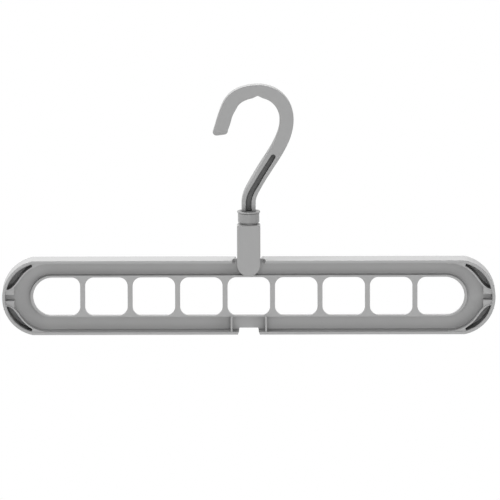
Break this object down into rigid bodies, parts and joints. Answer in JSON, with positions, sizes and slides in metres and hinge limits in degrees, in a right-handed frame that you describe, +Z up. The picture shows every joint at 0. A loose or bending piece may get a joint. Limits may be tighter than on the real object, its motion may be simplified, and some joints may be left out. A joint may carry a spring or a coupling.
{
  "type": "multifunctional clothes hanger",
  "caption": "Slotted bar hanger: an oblong frame with a row of rounded holes, hinged to a yoke that swivels under a moulded rail hook and folds flat beside it.",
  "frame": {"origin": "the top of the small dent inside the crown of the hook, where it rests on the rail, in the middle of the hook's thickness", "axes": "+X along the frame to the right of the picture, +Z up towards the rail, -Y towards the viewer of the picture"},
  "size_m": [0.3698, 0.0202, 0.1888],
  "materials": {
    "hook_plastic": "satin moulded",
    "bush_plastic": "smooth moulded",
    "yoke_plastic": "satin moulded",
    "pin_plastic": "smooth moulded",
    "frame_plastic": "satin moulded"
  },
  "bodies": {
    "hook": {"hook": "hook_plastic"},
    "yoke": {"hook_yoke": "yoke_plastic", "neck_bush": "bush_plastic", "fold_pin": "pin_plastic"},
    "frame": {"frame": "frame_plastic"}
  },
  "joints": [
    {"name": "swivel", "type": "hinge", "parent": "hook", "child": "yoke", "pos_m": [-0.007, 0, -0.1], "axis": [0, 0, 1], "continuous": true},
    {"name": "fold", "type": "hinge", "parent": "yoke", "child": "frame", "pos_m": [-0.007, 0, -0.1268], "axis": [1, 0, 0], "range_deg": [0, 170]}
  ]
}
